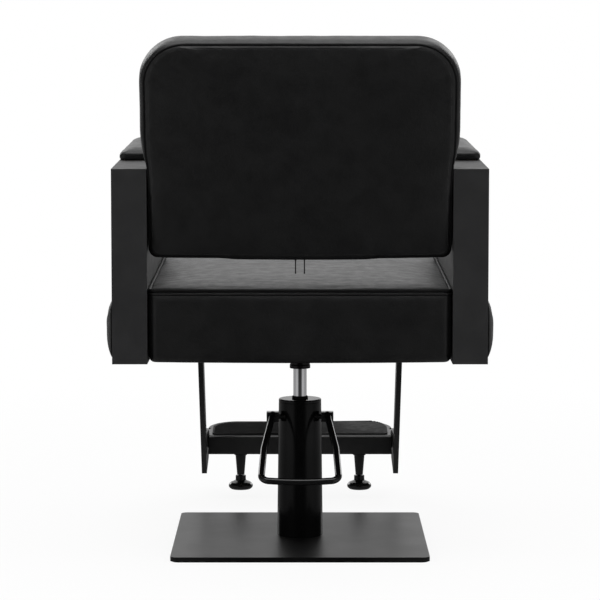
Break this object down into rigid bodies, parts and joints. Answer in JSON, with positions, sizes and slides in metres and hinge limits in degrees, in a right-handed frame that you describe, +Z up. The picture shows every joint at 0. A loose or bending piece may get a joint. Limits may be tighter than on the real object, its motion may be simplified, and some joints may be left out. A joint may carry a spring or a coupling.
{
  "type": "hairdressing chair",
  "caption": "Padded salon chair with box arms and a leaning backrest, on a pedal-pumped lift column with a square base plate and a hung footrest.",
  "frame": {"origin": "on the floor, under the middle of the base plate, on the swivel axis", "axes": "+Z up along the lift and swivel axis, -Y to the chair's front, where the sitter faces, +X to the sitter's left"},
  "size_m": [0.6746, 0.8461, 0.9038],
  "materials": {
    "leather_black": "soft satin artificial leather with a fine grain",
    "piping_black": "piping of the same artificial leather",
    "arm_paint": "matte dark grey powder coat",
    "base_paint": "satin black powder coat",
    "gloss_paint": "glossy black enamel",
    "footrest_paint": "satin black powder coat",
    "chrome_rod": "polished hard chrome",
    "steel": "zinc-plated or plain steel",
    "cast_iron": "plain casting",
    "bronze": "sintered bronze",
    "black_rubber": "matte black rubber",
    "plywood": "plain birch plywood",
    "glide_plastic": "glossy black moulded plastic",
    "zip_black": "black zip tape with a coil",
    "zip_metal": "black enamelled zip metal"
  },
  "bodies": {
    "base": {"base_liner": "black_rubber", "base_plate": "base_paint", "base_bolts": "steel", "pump_flange": "steel", "pump_barrel": "steel", "oil_reservoir": "steel", "pump_head": "cast_iron", "shaft_bushes": "bronze", "rod_guide": "bronze", "column_cover": "gloss_paint", "column_cap": "gloss_paint", "rod_wiper": "black_rubber", "plunger_spring": "steel"},
    "pedal": {"pedal_shaft": "steel", "pedal_hubs": "gloss_paint", "pedal_loop": "gloss_paint", "pedal_cam": "steel"},
    "plunger": {"pump_plunger": "steel"},
    "lift": {"piston_rod": "chrome_rod", "piston_head": "steel", "piston_seal": "black_rubber", "thrust_race": "steel"},
    "seat": {"swivel_hub": "gloss_paint", "seat_plate": "gloss_paint", "seat_plate_bolts": "steel", "seat_base_board": "plywood", "seat_frame": "plywood", "seat_top_board": "plywood", "seat_cushion": "leather_black", "seat_welt": "piping_black", "arm_shell_left": "arm_paint", "arm_shell_right": "arm_paint", "arm_floors": "arm_paint", "arm_bolts": "steel", "side_pad_left": "leather_black", "side_pad_right": "leather_black", "side_pad_boards": "plywood", "armrest_pad_left": "leather_black", "armrest_pad_right": "leather_black", "armrest_boards": "plywood", "armrest_screws": "steel", "backrest_cushion": "leather_black", "backrest_frame": "plywood", "backrest_bolts": "steel", "backrest_welt": "piping_black", "zip_chain": "zip_black", "footrest_arm_left": "footrest_paint", "footrest_arm_right": "footrest_paint", "footrest_tray": "footrest_paint", "footrest_mat": "black_rubber", "footrest_bolts": "steel", "foot_legs": "footrest_paint"},
    "zip_left": {"zip_slider_left": "zip_metal"},
    "zip_right": {"zip_slider_right": "zip_metal"},
    "pull_left": {"zip_pull_left": "zip_metal"},
    "pull_right": {"zip_pull_right": "zip_metal"},
    "stud_left": {"foot_stud_left": "steel"},
    "stud_right": {"foot_stud_right": "steel"},
    "glide_left": {"foot_glide_left": "glide_plastic"},
    "glide_right": {"foot_glide_right": "glide_plastic"}
  },
  "joints": [
    {"name": "lift", "type": "slide", "parent": "base", "child": "lift", "axis": [0, 0, 1], "range_m": [0, 0.15]},
    {"name": "swivel", "type": "hinge", "parent": "lift", "child": "seat", "pos_m": [0, 0, 0.34], "axis": [0, 0, 1], "continuous": true},
    {"name": "pedal", "type": "hinge", "parent": "base", "child": "pedal", "pos_m": [0, 0.024, 0.2275], "axis": [1, 0, 0], "range_deg": [-22, 8], "stiffness_Nm_per_rad": 8, "springref_deg": 4.01},
    {"name": "plunger", "type": "slide", "parent": "base", "child": "plunger", "axis": [0, 0, 1], "range_m": [-0.0033, 0.0013], "deforming": ["plunger_spring"]},
    {"name": "zip_left", "type": "slide", "parent": "seat", "child": "zip_left", "axis": [1, 0, 0], "range_m": [0, 0.21]},
    {"name": "pull_left", "type": "hinge", "parent": "zip_left", "child": "pull_left", "pos_m": [0.0076, 0.21992, 0.52729], "axis": [0, 0.9848, -0.1736], "range_deg": [-70, 13]},
    {"name": "foot_left_travel", "type": "slide", "parent": "seat", "child": "stud_left", "axis": [0, 0, 1], "range_m": [-0.012, 0]},
    {"name": "foot_left_turn", "type": "hinge", "parent": "stud_left", "child": "glide_left", "pos_m": [0.118, -0.47, 0.03], "axis": [0, 0, 1], "range_deg": [0, 3460]},
    {"name": "zip_right", "type": "slide", "parent": "seat", "child": "zip_right", "axis": [-1, 0, 0], "range_m": [0, 0.21]},
    {"name": "pull_right", "type": "hinge", "parent": "zip_right", "child": "pull_right", "pos_m": [-0.0076, 0.21992, 0.52729], "axis": [0, 0.9848, -0.1736], "range_deg": [-13, 70]},
    {"name": "foot_right_travel", "type": "slide", "parent": "seat", "child": "stud_right", "axis": [0, 0, 1], "range_m": [-0.012, 0]},
    {"name": "foot_right_turn", "type": "hinge", "parent": "stud_right", "child": "glide_right", "pos_m": [-0.118, -0.47, 0.03], "axis": [0, 0, 1], "range_deg": [0, 3460]}
  ],
  "couplings": [
    {"joint": "plunger", "follows": "pedal", "m_per_rad": 0.008},
    {"joint": "foot_left_turn", "follows": "foot_left_travel", "rad_per_m": -5026.5},
    {"joint": "foot_right_turn", "follows": "foot_right_travel", "rad_per_m": -5026.5}
  ]
}
